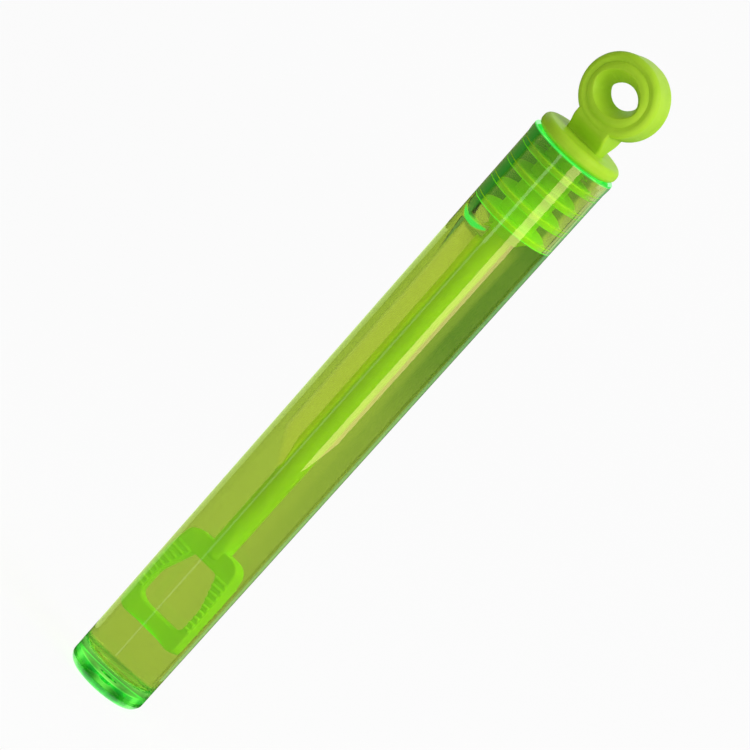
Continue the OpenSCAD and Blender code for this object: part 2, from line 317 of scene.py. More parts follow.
def moulded_skin_group():
    """The fine skin of a moulding: grain, long flow lines and a few handling marks."""
    group, start, end = new_group(
        "Moulded Skin",
        [
            ("Grain Scale", "NodeSocketFloat", 2500.0), ("Grain Depth", "NodeSocketFloat", 0.3),
            ("Flow Depth", "NodeSocketFloat", 0.5), ("Roughness Low", "NodeSocketFloat", 0.3),
            ("Roughness High", "NodeSocketFloat", 0.5),
        ],
        [("Height", "NodeSocketFloat"), ("Roughness", "NodeSocketFloat")],
    )
    place = add(group, "ShaderNodeTexCoord", -900, -300)
    stretch = add(group, "ShaderNodeMapping", -700, -450, Scale=FLOW_STRETCH)
    grain = add(group, "ShaderNodeTexNoise", -450, 100, Detail=3.0, Roughness=0.6)
    flow = add(group, "ShaderNodeTexNoise", -450, -200, Scale=420.0, Detail=4.0, Roughness=0.55)
    marks = add(group, "ShaderNodeTexNoise", -450, -500, Scale=160.0, Detail=5.0, Roughness=0.7)
    fine = math_node(group, "MULTIPLY", -150, 100)
    long = math_node(group, "MULTIPLY", -150, -150)
    height = math_node(group, "ADD", 100, 0)
    rough = add(group, "ShaderNodeMapRange", 100, -350, From_Min=0.35, From_Max=0.65)
    join(group, place, "Object", grain, "Vector")
    join(group, place, "Object", stretch, "Vector")
    join(group, stretch, "Vector", flow, "Vector")
    join(group, place, "Object", marks, "Vector")
    join(group, start, "Grain Scale", grain, "Scale")
    join(group, grain, "Fac", fine, 0)
    join(group, start, "Grain Depth", fine, 1)
    join(group, flow, "Fac", long, 0)
    join(group, start, "Flow Depth", long, 1)
    join(group, fine, "Value", height, 0)
    join(group, long, "Value", height, 1)
    join(group, marks, "Fac", rough, "Value")
    join(group, start, "Roughness Low", rough, "To Min")
    join(group, start, "Roughness High", rough, "To Max")
    join(group, height, "Value", end, "Height")
    join(group, rough, "Result", end, "Roughness")
    return group


def mottle_group():
    """Two tones of one plastic in soft clouds that are drawn out along the flow."""
    group, start, end = new_group(
        "Mottle",
        [
            ("Colour", "NodeSocketColor", (1, 1, 1, 1)), ("Shade", "NodeSocketColor", (0, 0, 0, 1)),
            ("Scale", "NodeSocketFloat", 180.0),
        ],
        [("Colour", "NodeSocketColor")],
    )
    place = add(group, "ShaderNodeTexCoord", -900, -250)
    stretch = add(group, "ShaderNodeMapping", -700, -250, Scale=CLOUD_STRETCH)
    clouds = add(group, "ShaderNodeTexNoise", -450, -100, Detail=4.0, Roughness=0.6)
    share = add(group, "ShaderNodeMapRange", -150, -100, From_Min=0.4, From_Max=0.7)
    blend = colour_mix(group, 200, 0)
    join(group, place, "Object", stretch, "Vector")
    join(group, stretch, "Vector", clouds, "Vector")
    join(group, start, "Scale", clouds, "Scale")
    join(group, clouds, "Fac", share, "Value")
    join(group, share, "Result", blend, "Factor")
    join(group, start, "Colour", blend, COLOUR_A)
    join(group, start, "Shade", blend, COLOUR_B)
    join(group, blend, COLOUR_OUT, end, "Colour")
    return group


def grey_ramp(tree, x, y, stops):
    """A colour ramp through (position, grey value) stops."""
    ramp = add(tree, "ShaderNodeValToRGB", x, y)
    elements = ramp.color_ramp.elements
    for element, (position, value) in zip((elements[0], elements[1]), (stops[0], stops[-1])):
        element.position, element.color = position, (value, value, value, 1)
    for position, value in stops[1:-1]:
        elements.new(position).color = (value, value, value, 1)
    return ramp


# Painted ripples of light and shade round the foot, and how far they are turned from the right
RIPPLES, RIPPLE_TURN = 7, math.radians(68)
# How upright a face's normal is where the face starts to count as level, and where it fully does
LEVEL_FROM, LEVEL_FULL = 0.1, 0.9
# Share of the height of the foot's painted light and shade above which they fade
FADE_SHARE = 0.7
# Heights between which level faces pass from the foot's underside to the tube's floor
UNDERSIDE, FLOOR_SIDE = 1.2 * MM, 3.4 * MM
# Share of the painted glow that is left in the tube's floor
FLOOR_LIGHT = 0.3
# Painted glow of the level faces in rings from the axis to this radius, as (share of the radius, light)
CIRCLES_RADIUS = 8 * MM
CIRCLES = (
    (0.0, 0.6), (0.13, 0.5), (0.2, 0.22), (0.38, 0.22),
    (0.43, 0.8), (0.5, 0.8), (0.54, 0.22), (0.72, 0.6),
)
# Painted glow of the sides in bands from the foot to this height, as (share of the height, light)
STRIPES_HEIGHT = 5 * MM
STRIPES = (
    (0.0, 0.04), (0.36, 0.03), (0.45, 0.26), (0.49, 0.26), (0.56, 0.06), (0.7, 0.12), (0.82, 0.0),
)


def foot_light_group():
    """The painted light and shade in the thick foot: sides painted a deeper green, painted ripples of
    light and shade round them and a painted glow on the level faces.
    """
    group, start, end = new_group(
        "Foot Light",
        [("Height", "NodeSocketFloat", 0.004)],
        [("Painted Tint", "NodeSocketFloat"), ("Ripple", "NodeSocketFloat"), ("Light", "NodeSocketFloat")],
    )
    place = add(group, "ShaderNodeTexCoord", -1700, 0)
    split = add(group, "ShaderNodeSeparateXYZ", -1500, 0)
    # Painted ripples of light and shade, from the angle round the axis
    turn = math_node(group, "ARCTAN2", -1300, 300)
    turned = math_node(group, "MULTIPLY_ADD", -1100, 300, None, RIPPLES, RIPPLES * RIPPLE_TURN)
    wave = math_node(group, "COSINE", -900, 300)
    ripple = add(group, "ShaderNodeMapRange", -700, 300, From_Min=-1.0, From_Max=1.0)
    join(group, place, "Object", split, 0)
    join(group, split, "Y", turn, 0)
    join(group, split, "X", turn, 1)
    join(group, turn, "Value", turned, 0)
    join(group, turned, "Value", wave, 0)
    join(group, wave, "Value", ripple, "Value")
    join(group, ripple, "Result", end, "Ripple")

    surface = add(group, "ShaderNodeNewGeometry", -1700, -300)
    facing = add(group, "ShaderNodeSeparateXYZ", -1500, -300)
    upright = math_node(group, "ABSOLUTE", -1300, -300)
    level = add(
        group, "ShaderNodeMapRange", -1100, -300, SMOOTH, From_Min=LEVEL_FROM, From_Max=LEVEL_FULL
    )
    join(group, surface, "Normal", facing, 0)
    join(group, facing, "Z", upright, 0)
    join(group, upright, "Value", level, "Value")

    # Painted tint: the foot's sides are painted a deeper green (painted shade and light), fading out
    # upwards and left off the tube's floor
    below = math_node(group, "MULTIPLY", -1100, 100, None, FADE_SHARE)
    zone = add(group, "ShaderNodeMapRange", -900, 0, SMOOTH, To_Min=1.0, To_Max=0.0)
    upper = add(
        group, "ShaderNodeMapRange", -900, -150, SMOOTH, From_Min=UNDERSIDE, From_Max=FLOOR_SIDE
    )
    floor_face = math_node(group, "MULTIPLY", -700, -100)
    not_floor = math_node(group, "SUBTRACT", -500, -100, 1.0)
    painted_tint = math_node(group, "MULTIPLY", -300, 0)
    join(group, start, "Height", below, 0)
    join(group, split, "Z", zone, "Value")
    join(group, below, "Value", zone, "From Min")
    join(group, start, "Height", zone, "From Max")
    join(group, split, "Z", upper, "Value")
    join(group, upper, "Result", floor_face, 0)
    join(group, level, "Result", floor_face, 1)
    join(group, floor_face, "Value", not_floor, 1)
    join(group, zone, "Result", painted_tint, 0)
    join(group, not_floor, "Value", painted_tint, 1)
    join(group, painted_tint, "Value", end, "Painted Tint")

    # Painted glow: rings of light on the level faces and bands up the sides, fading out upwards
    flat = add(group, "ShaderNodeVectorMath", -1500, -600, {"operation": "MULTIPLY"})
    flat.inputs[1].default_value = (1, 1, 0)
    reach = add(group, "ShaderNodeVectorMath", -1300, -600, {"operation": "LENGTH"})
    across = math_node(group, "MULTIPLY", -1100, -600, None, 1 / CIRCLES_RADIUS)
    circles = grey_ramp(group, -900, -600, CIRCLES)
    fade = add(
        group, "ShaderNodeMapRange", -900, -850,
        From_Min=UNDERSIDE, From_Max=FLOOR_SIDE, To_Min=1.0, To_Max=FLOOR_LIGHT,
    )
    faces = math_node(group, "MULTIPLY", -600, -600)
    level_light = math_node(group, "MULTIPLY", -400, -500)
    up = math_node(group, "MULTIPLY", -1100, -1100, None, 1 / STRIPES_HEIGHT)
    stripes = grey_ramp(group, -900, -1100, STRIPES)
    side_light = math_node(group, "MULTIPLY", -400, -900)
    not_level = math_node(group, "SUBTRACT", -600, -900, 1.0)
    both = math_node(group, "ADD", -200, -600)
    light = math_node(group, "MULTIPLY", 0, -500)
    join(group, place, "Object", flat, 0)
    join(group, flat, "Vector", reach, 0)
    join(group, reach, "Value", across, 0)
    join(group, across, "Value", circles, "Fac")
    join(group, split, "Z", fade, "Value")
    join(group, circles, "Color", faces, 0)
    join(group, fade, "Result", faces, 1)
    join(group, faces, "Value", level_light, 0)
    join(group, level, "Result", level_light, 1)
    join(group, split, "Z", up, 0)
    join(group, up, "Value", stripes, "Fac")
    join(group, stripes, "Color", side_light, 0)
    join(group, level, "Result", not_level, 1)
    join(group, not_level, "Value", side_light, 1)
    join(group, level_light, "Value", both, 0)
    join(group, side_light, "Value", both, 1)
    join(group, both, "Value", light, 0)
    join(group, zone, "Result", light, 1)
    join(group, light, "Value", end, "Light")
    return group


GROUP_MAKERS = {
    "Height Band": height_band_group,
    "Moulded Skin": moulded_skin_group,
    "Mottle": mottle_group,
    "Foot Light": foot_light_group,
}


def height_band(tree, x, y, low, high):
    """A mask that is 1 below the low height and 0 above the high one."""
    return place_group(tree, "Height Band", x, y, Full_Below=low, None_Above=high)


def new_material(name):
    material = bpy.data.materials.new(name)
    material.use_nodes = True
    tree = material.node_tree
    tree.nodes.clear()
    return material, tree


def clear_to_light(tree, shader, colour, output):
    """Lets lamps shine through a clear material, where plain refraction would block them."""
    path = add(tree, "ShaderNodeLightPath", 200, 400)
    clear = add(tree, "ShaderNodeBsdfTransparent", 200, -500, Color=(*colour, 1))
    mix = add(tree, "ShaderNodeMixShader", 600, 0)
    join(tree, path, "Is Shadow Ray", mix, "Fac")
    join(tree, shader, "BSDF", mix, 1)
    join(tree, clear, "BSDF", mix, 2)
    join(tree, mix, "Shader", output, "Surface")


def give_skin(tree, shader, strength, depth, **values):
    """Gives a shader the roughness and bump of a moulded skin."""
    skin = place_group(tree, "Moulded Skin", -500, -300, **values)
    bump = add(tree, "ShaderNodeBump", 0, -400, Strength=strength, Distance=depth)
    join(tree, skin, "Roughness", shader, "Roughness")
    join(tree, skin, "Height", bump, "Height")
    join(tree, bump, "Normal", shader, "Normal")


# Share of the painted rim glow's depth that is fully lit, and how strongly the rim's painted glow shows
RIM_FULL_SHARE, RIM_STRENGTH = 0.3, 0.67
# Light that shines through the wall and through the liquid
WALL_LIGHT, LIQUID_LIGHT = (0.93, 0.98, 0.75), (1.0, 1.0, 0.97)
# Heights between which the plug's colour, painted greener for the tube's light, passes into the stopper's
PLUG_COLOUR_HEIGHTS = TUBE_HEIGHT - 0.2 * MM, TUBE_HEIGHT + 0.1 * MM
# Heights between which the loop's painted glow passes into the stem's
LOOP_GLOW_HEIGHTS = 22 * MM, 40 * MM
# Colour of the liquid's clouds, as a share of its tint
CLOUD_SHARE = 0.97
# Painted glow of weakly lit liquid, as (lit, colour), and the painted tint that full painted light gives
# it
WEAK_GLOWS = (0.1, (0.14, 0.09, 0.0)), (0.14, (0.03, 0.08, 0.0)), (0.3, (0.05, 0.25, 0.01))
LIT_PAINTED_TINT = (0.08, 0.6, 0.12)


def tube_material(settings):
    material, tree = new_material("Clear fluorescent polystyrene")
    output = add(tree, "ShaderNodeOutputMaterial", 800, 0)
    shader = add(
        tree, "ShaderNodeBsdfPrincipled", 300, 0,
        IOR=1.59, Transmission_Weight=1.0, Emission_Strength=1.0, Specular_IOR_Level=0.5,
    )
    # Painted light and shade at the rim and foot: a deeper, rippled green in the wall's colour and a
    # painted glow
    below_rim = height_band(
        tree, -900, 100,
        TUBE_HEIGHT - settings.rim_glow, TUBE_HEIGHT - settings.rim_glow * RIM_FULL_SHARE,
    )
    rim = math_node(tree, "SUBTRACT", -650, 100, 1.0)
    rim_light = math_node(tree, "MULTIPLY", -400, 50, None, RIM_STRENGTH)
    foot = place_group(tree, "Foot Light", -650, 350, Height=settings.foot_glow)
    edges = math_node(tree, "MAXIMUM", -300, 200)
    bright = math_node(tree, "MAXIMUM", -100, 0)
    # Painted ripples of light and shade in that deeper green
    deep = colour_mix(tree, -150, 500, settings.foot_painted_shade, settings.foot_painted_light)
    tint = colour_mix(tree, 50, 200, settings.tint)
    glow = colour_mix(tree, 50, -100, BLACK, settings.glow)
    give_skin(
        tree, shader, 0.06, 0.1 * MM,
        Grain_Scale=900.0, Grain_Depth=0.1, Flow_Depth=1.0, Roughness_Low=0.0, Roughness_High=0.03,
    )
    join(tree, below_rim, "Mask", rim, 1)
    join(tree, rim, "Value", edges, 0)
    join(tree, foot, "Painted Tint", edges, 1)
    join(tree, rim, "Value", rim_light, 0)
    join(tree, rim_light, "Value", bright, 0)
    join(tree, foot, "Light", bright, 1)
    join(tree, foot, "Ripple", deep, "Factor")
    join(tree, deep, COLOUR_OUT, tint, COLOUR_B)
    join(tree, edges, "Value", tint, "Factor")
    join(tree, bright, "Value", glow, "Factor")
    join(tree, tint, COLOUR_OUT, shader, "Base Color")
    join(tree, glow, COLOUR_OUT, shader, "Emission Color")
    clear_to_light(tree, shader, WALL_LIGHT, output)
    return material


def lime_plastic(name, settings, specular, scatter, cloud_scale, grain_scale):
    """Satin lime plastic, given with its tree, its shader and the mottling for its colour."""
    material, tree = new_material(name)
    output = add(tree, "ShaderNodeOutputMaterial", 800, 0)
    shader = add(
        tree, "ShaderNodeBsdfPrincipled", 300, 0,
        IOR=1.51, Specular_IOR_Level=specular, Subsurface_Weight=0.2, Subsurface_Scale=scatter,
        Subsurface_Radius=(0.7, 1.0, 0.3), Emission_Strength=1.0,
    )
    mottle = place_group(
        tree, "Mottle", -500, 200,
        Scale=cloud_scale, Colour=(*settings.lime, 1), Shade=(*settings.shade, 1),
    )
    give_skin(
        tree, shader, 0.25, 0.04 * MM, Grain_Scale=grain_scale, Grain_Depth=1.0,
        Flow_Depth=0.6, Roughness_Low=0.36, Roughness_High=0.5,
    )
    join(tree, shader, "BSDF", output, "Surface")
    return material, tree, shader, mottle


def stopper_material(settings):
    material, tree, shader, mottle = lime_plastic(
        "Lime polyethylene", settings, specular=0.13, scatter=1.2 * MM,
        cloud_scale=160.0, grain_scale=1 / settings.grain,
    )
    # Painted light: below the rim the plug gets a greener lime, for the green light in the tube
    inside = height_band(tree, -500, 0, *PLUG_COLOUR_HEIGHTS)
    # Painted glow on the plug's lower end, fading out up to the rim
    low = height_band(tree, -500, -150, settings.plug_low, TUBE_HEIGHT)
    glow = colour_mix(tree, -100, -100, BLACK, settings.plug_glow)
    colour = colour_mix(tree, -100, 200, None, settings.plug_painted_lime)
    join(tree, mottle, "Colour", colour, COLOUR_A)
    join(tree, inside, "Mask", colour, "Factor")
    join(tree, low, "Mask", glow, "Factor")
    join(tree, glow, COLOUR_OUT, shader, "Emission Color")
    join(tree, colour, COLOUR_OUT, shader, "Base Color")
    return material


def wand_material(settings):
    material, tree, shader, mottle = lime_plastic(
        "Bright lime polyethylene", settings, specular=0.3, scatter=1 * MM,
        cloud_scale=220.0, grain_scale=2600.0,
    )
    # Painted glow, greener on the loop near the foot than on the stem
    low = height_band(tree, -500, 0, *LOOP_GLOW_HEIGHTS)
    glow = colour_mix(tree, -100, 0, settings.stem_glow, settings.loop_glow)
    join(tree, mottle, "Colour", shader, "Base Color")
    join(tree, low, "Mask", glow, "Factor")
    join(tree, glow, COLOUR_OUT, shader, "Emission Color")
    return material


def solution_material(settings):
    material, tree = new_material("Bubble solution")
    output = add(tree, "ShaderNodeOutputMaterial", 800, 0)
    shader = add(
        tree, "ShaderNodeBsdfPrincipled", 300, 0,
        IOR=1.34, Transmission_Weight=1.0, Roughness=0.0, Emission_Strength=1.0,
    )
    clouds = [share * CLOUD_SHARE for share in settings.tint]
    mottle = place_group(
        tree, "Mottle", -300, 100, Scale=60.0, Colour=(*settings.tint, 1), Shade=(*clouds, 1)
    )
    # Painted light from the lit attribute: a painted glow, and a painted green tint that grows with it
    lit = add(tree, "ShaderNodeAttribute", -300, -150, {"attribute_name": "lit"})
    glow = add(tree, "ShaderNodeValToRGB", 0, -150)
    stops = glow.color_ramp.elements
    stops[0].position, stops[0].color = 0, (*BLACK, 1)
    stops[1].position, stops[1].color = 1, (*settings.glow, 1)
    for position, colour in WEAK_GLOWS:
        stops.new(position).color = (*colour, 1)
    painted_tint = colour_mix(tree, 0, 150, None, LIT_PAINTED_TINT)
    join(tree, mottle, "Colour", painted_tint, COLOUR_A)
    join(tree, lit, "Fac", painted_tint, "Factor")
    join(tree, painted_tint, COLOUR_OUT, shader, "Base Color")
    join(tree, lit, "Fac", glow, "Fac")
    join(tree, glow, "Color", shader, "Emission Color")
    clear_to_light(tree, shader, LIQUID_LIGHT, output)
    return material


def glow_material(name, colour, strength=1.0):
    """A plain glow of one colour, for a card of the stage."""
    material, tree = new_material(name)
    light = add(tree, "ShaderNodeEmission", 0, 0, Color=(*colour, 1), Strength=strength)
    output = add(tree, "ShaderNodeOutputMaterial", 200, 0)
    join(tree, light, "Emission", output, "Surface")
    return material


def paint(name, material):
    """Gives a CAD node one material on all its faces."""
    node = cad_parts[name]
    node.data.materials.clear()
    node.data.materials.append(material)
    if len(node.material_slots) != 1:
        raise RuntimeError(f"{name} has kept an old material")


# The solution

# Points round the liquid and round a wet ring
AROUND, RING_AROUND = 180, 120
# Steps in the floor's fillet, up the long pocket and past the two pockets' ends
FILLET_STEPS, LONG_STEPS, END_STEPS = 6, 140, 60
# How far below the long pocket's top the steps get finer, and the radius where the top closes
FINE_FROM, CLOSING_RADIUS = 2 * MM, 1 * MM
# Heights over which the long pocket deepens from its lower end, ends at its top and spreads there
POCKET_DEEPENS, POCKET_ENDS, POCKET_SPREADS = 5 * MM, 1 * MM, 7.5 * MM
# The long pocket's width at its very tip, as a share of its full width
TIP_SHARE = 0.02
# How much higher the air cell starts at its sides, and the height over which it deepens
CELL_SAG, CELL_DEEPENS = 1.4 * MM, 1.5 * MM
# The bridge's painted glow: how far its lower and upper edges bend up at the sides, how far
# it reaches into each pocket, and the heights over which its painted light comes and goes
BRIDGE_LOW_BEND, BRIDGE_HIGH_BEND = 1.2 * MM, 0.4 * MM
BRIDGE_LOW_REACH, BRIDGE_HIGH_REACH = 0.2 * MM, 0.3 * MM
BRIDGE_LIGHT_IN, BRIDGE_LIGHT_OUT = 0.25 * MM, 0.35 * MM
# The long pocket's painted sheen: how lit it is, and where it comes and goes at the sides and ends
SHEEN, SHEEN_SIDE_SHARE, SHEEN_END = 0.1, 0.12, 1 * MM
# A wet ring's height, its reach in from the bore, and its places above a disc's underside and
# below its top
WET_HEIGHT, WET_REACH, WET_RISE, WET_DROP = 0.13 * MM, 0.22 * MM, 0.08 * MM, 0.21 * MM
# How strongly the wet rings are painted lit: under the last disc, under the others and at their tops
LAST_LIT, LOWER_LIT, UPPER_LIT = 0.5, 0.25, 0.12


def bore_radius(settings, z):
    """The drafted bore's radius at a height."""
    share = z / TUBE_HEIGHT
    return settings.bore_radius_foot + (settings.bore_radius_rim - settings.bore_radius_foot) * share


def round_rise(share):
    """A quarter circle's height at a share of its width, and 1 beyond it."""
    share = max(0, min(1, share))
    return math.sqrt(share * (2 - share))


def off_middle(angle, middle):
    """An angle seen from another, from -pi to pi."""
    return (angle - middle + math.pi) % (2 * math.pi) - math.pi


def lathe_mesh(name, rings, closed=False):
    """A mesh from rings of (radius, height, angle, lit), capped at its ends or closed on itself; lit is
    its painted light.
    """
    count = len(rings[0])
    points = [(r * math.cos(t), r * math.sin(t), z) for ring in rings for r, z, t, lit in ring]
    pairs = [(k, k + 1) for k in range(len(rings) - 1)]
    if closed:
        pairs.append((len(rings) - 1, 0))
    faces = []
    for low, high in pairs:
        for i in range(count):
            j = (i + 1) % count
            faces.append((low * count + i, low * count + j, high * count + j, high * count + i))
    if not closed:
        last = (len(rings) - 1) * count
        faces.append(tuple(reversed(range(count))))
        faces.append(tuple(last + i for i in range(count)))
    mesh = bpy.data.meshes.new(name)
    mesh.from_pydata(points, [], faces)
    # The lit attribute holds the share of painted light at each point
    lit = mesh.attributes.new("lit", "FLOAT", "POINT")
    lit.data.foreach_set("value", [value for ring in rings for r, z, t, value in ring])
    if mesh.validate():
        raise RuntimeError(f"{name} had broken faces")
    mesh.update()
    mesh.shade_smooth()
    return mesh


def solution_mesh(settings):
    """The liquid, with a long air pocket down one side and an air cell under the plug."""
    angles = [2 * math.pi * i / AROUND for i in range(AROUND)]

    def pocket_place(angle, z):
        """Where an angle lies in the long pocket: 0 in its middle, 1 at its sides and more outside it."""
        above, below = z - settings.pocket_bottom, settings.pocket_top - z
        widened = max(TIP_SHARE, min(1, above / settings.pocket_slant))
        spread = max(0, 1 - below / POCKET_SPREADS) * settings.pocket_spread / 2
        width = settings.pocket_width * widened + spread
        return abs(off_middle(angle, settings.pocket_azimuth - width)) / width

    def pocket_share(angle, z):
        """How far the long pocket stands in, as a share of its depth."""
        lower = round_rise((z - settings.pocket_bottom) / POCKET_DEEPENS)
        ends = lower * round_rise((settings.pocket_top - z) / POCKET_ENDS)
        return ends * max(0, 1 - pocket_place(angle, z) ** 2)

    def cell_share(angle, z):
        """How far the air cell stands in, as a share of its depth."""
        turn = off_middle(angle, settings.cell_azimuth) / settings.cell_width
        if abs(turn) >= 1:
            return 0
        start = settings.cell_bottom + CELL_SAG * turn * turn
        return round_rise((z - start) / CELL_DEEPENS) * math.sqrt(1 - turn * turn)

    def wall_radius(angle, z):
        """The liquid's radius, drawn in from the wall where the air lies."""
        inward = max(
            pocket_share(angle, z) * (settings.overlap + settings.pocket_depth),
            cell_share(angle, z) * (settings.overlap + settings.cell_depth),
        )
        return bore_radius(settings, z) + settings.overlap - inward

    def bridge_light(angle, z):
        """How strongly the bridge between the two pockets is painted lit, full in a crescent along the
        wall.
        """
        turn = off_middle(angle, settings.cell_azimuth) / settings.cell_width
        if abs(turn) >= 1:
            return 0
        low = settings.pocket_top + BRIDGE_LOW_BEND * turn * turn - BRIDGE_LOW_REACH
        high = settings.cell_bottom + BRIDGE_HIGH_REACH + BRIDGE_HIGH_BEND * turn * turn
        if not low < z < high:
            return 0
        return min(1, (z - low) / BRIDGE_LIGHT_IN, (high - z) / BRIDGE_LIGHT_OUT)

    def lit_share(angle, z):
        """The painted light on the wetted face: the bridge's painted glow, and a faint painted sheen on
        the long pocket's face.
        """
        above, below = z - settings.pocket_bottom, settings.pocket_top - z
        ends = max(0, min(1, above / SHEEN_END, below / SHEEN_END))
        side = max(0, min(1, (1 - pocket_place(angle, z)) / SHEEN_SIDE_SHARE))
        sheen = SHEEN * ends * side
        return max(bridge_light(angle, z), sheen)

    fillet = settings.floor_fillet
    rings = []
    for i in range(FILLET_STEPS + 1):
        a = math.pi / 2 * i / FILLET_STEPS
        z = settings.floor_height + fillet * (1 - math.cos(a)) - settings.overlap * math.cos(a)
        grow = -fillet * (1 - math.sin(a)) + settings.overlap * (math.sin(a) - 1)
        rings.append([(wall_radius(t, z) + grow, z, t, 0) for t in angles])
    first = rings[-1][0][1]
    fine_from = settings.pocket_top - FINE_FROM
    for start, end, steps in (
        (first, fine_from, LONG_STEPS), (fine_from, settings.fill_height, END_STEPS),
    ):
        for i in range(1, steps + 1):
            z = start + (end - start) * i / steps
            rings.append([(wall_radius(t, z), z, t, lit_share(t, z)) for t in angles])
    rings.append([(CLOSING_RADIUS, settings.fill_height, t, 0) for t in angles])
    return lathe_mesh("bubble_solution", rings)


def wet_ring_mesh(settings, name, z, lit):
    """A thin ring of liquid that bridges a disc's edge and the bore, and carries painted light."""
    outer = bore_radius(settings, z) + settings.overlap
    inner = bore_radius(settings, z) - WET_REACH
    section = [(inner, z), (outer, z), (outer, z + WET_HEIGHT), (inner, z + WET_HEIGHT)]
    angles = [2 * math.pi * i / RING_AROUND for i in range(RING_AROUND)]
    mesh = lathe_mesh(name, [[(r, h, t, lit) for t in angles] for r, h in section], closed=True)
    mesh.shade_flat()
    return mesh


# The stage

SENSOR_WIDTH = 36
# White of the floor's paint, and how far its seen face is plain white
FLOOR_PAINT, FLOOR_WHITE_SHARE = 0.95, 0.9
# Radius of the floor, and how far it and the dark cloth lie under the foot
FLOOR_RADIUS, FLOOR_DROP, CLOTH_DROP = 3.0, 0.05 * MM, 0.03 * MM
CLOTH_RADII, CLOTH_COLOUR = (7.5 * MM, 1.5), (0.05, 0.09, 0.03)
CIRCLE_POINTS = 96
# The backdrop: distance, first angle and span in degrees, lower end and height in millimetres,
# columns and rows, and its dark colour
BACKDROP_DISTANCE = 0.06
BACKDROP_FIRST, BACKDROP_SPAN = -35, 120
BACKDROP_LOW, BACKDROP_HEIGHT = 0.1, 190
BACKDROP_COLUMNS, BACKDROP_ROWS = 70, 50
BACKDROP_DARK = (0.02, 0.28, 0.05)
# Its dark zones, each by angle and by height, as (degrees or millimetres, darkness)
LEFT_BY_TURN = ((3, 0), (6, 0.5), (10, 0.55), (13, 1), (70, 1), (80, 0))
LEFT_BY_HEIGHT = ((0, 0.06), (24, 0.18), (45, 0.38), (60, 0.8), (80, 0.8))
RIGHT_BY_TURN = ((-24, 0), (-18, 0.68), (3, 0.68), (6, 0))
RIGHT_BY_HEIGHT = ((72, 0), (80, 1))
HIGH_BY_TURN = ((4, 0), (7, 0.9), (70, 1), (80, 0))
HIGH_BY_HEIGHT = ((75, 0), (80, 1))
# The flag: distance, first angle and span in degrees, lower and upper ends, columns, colour
FLAG_DISTANCE, FLAG_FIRST, FLAG_SPAN = 0.5, -60, -90
FLAG_ENDS, FLAG_COLUMNS, FLAG_COLOUR = (0.02, 0.9), 24, (0.02, 0.02, 0.02)
# The key lamp: size, angle, distance, height and the height that it aims at
KEY_SIZE, KEY_TURN, KEY_DISTANCE, KEY_HEIGHT, KEY_AIM = 0.5, math.radians(58), 0.8, 0.75, 0.08
# Strip lights: name, angles of the two sides, distance, the sides' lower ends, top, strength
# and colour
STRIPS = (
    ("main_strip", (17, 41), 0.15, (0.011, 0.0185), 0.2, 6.0, (1.0, 0.62, 0.36)),
    ("faint_strip", (-21, -14.5), 0.03, (0.083, 0.083), 0.2, 2.2, (0.9, 1.0, 0.7)),
    ("fainter_strip", (-21, -17), 0.03, (0.0, 0.0), 0.083, 1.2, (0.9, 1.0, 0.8)),
    ("left_edge_strip", (-165, -114), 0.03, (0.0, 0.0), 0.080, 1.1, (0.75, 1.0, 0.4)),
    ("right_edge_strip", (114, 150), 0.03, (0.0, 0.0), 0.12, 0.7, (0.35, 1.0, 0.5)),
)


def camera_axes(stage):
    """Unit vectors from the object to the camera, to the camera's right and upwards across them."""
    a, e = stage.camera_azimuth, stage.camera_elevation
    back = Vector((math.sin(a) * math.cos(e), -math.cos(a) * math.cos(e), math.sin(e)))
    right = Vector((math.cos(a), math.sin(a), 0))
    return back, right, back.cross(right)


def place_camera(stage):
    back, right, up = camera_axes(stage)
    aim = right * stage.aim_right + Vector((0, 0, stage.aim_height))
    data = bpy.data.cameras.new("Camera")
    data.sensor_width = SENSOR_WIDTH
    data.lens = SENSOR_WIDTH * stage.camera_distance / stage.frame_width
    camera = bpy.data.objects.new("Camera", data)
    turn = Matrix((right, up, back)).transposed() @ Matrix.Rotation(stage.camera_roll, 3, "Z")
    camera.matrix_world = Matrix.Translation(aim + back * stage.camera_distance) @ turn.to_4x4()
    bpy.context.scene.collection.objects.link(camera)
    bpy.context.scene.camera = camera


def background_rays(tree):
    """1 for the rays that show the background: from the camera, off gloss and through clear parts."""
    path = add(tree, "ShaderNodeLightPath", -600, 200)
    first = math_node(tree, "MAXIMUM", -400, 200)
    both = math_node(tree, "MAXIMUM", -200, 200)
    join(tree, path, "Is Camera Ray", first, 0)
    join(tree, path, "Is Glossy Ray", first, 1)
    join(tree, first, "Value", both, 0)
    join(tree, path, "Is Transmission Ray", both, 1)
    return both


def light_surroundings(stage):
    world = bpy.data.worlds.new("Studio")
    bpy.context.scene.world = world
    world.use_nodes = True
    tree = world.node_tree
    tree.nodes.clear()
    seen = background_rays(tree)
    soft = add(tree, "ShaderNodeBackground", 0, 0, Color=(*WHITE, 1), Strength=stage.surroundings)
    white = add(tree, "ShaderNodeBackground", 0, -150, Color=(*WHITE, 1), Strength=1.0)
    mix = add(tree, "ShaderNodeMixShader", 250, 0)
    output = add(tree, "ShaderNodeOutputWorld", 450, 0)
    join(tree, seen, "Value", mix, "Fac")
    join(tree, soft, "Background", mix, 1)
    join(tree, white, "Background", mix, 2)
    join(tree, mix, "Shader", output, "Surface")


def stage_mesh(name, points, faces, material):
    mesh = bpy.data.meshes.new(name)
    mesh.from_pydata(points, [], faces)
    mesh.update()
    mesh.materials.append(material)
    made = bpy.data.objects.new(name, mesh)
    bpy.context.scene.collection.objects.link(made)
    return made


def show_only(card, kind):
    """Leaves a card visible to one kind of ray alone."""
    for other in ("camera", "diffuse", "glossy", "transmission", "shadow"):
        setattr(card, f"visible_{other}", other == kind)


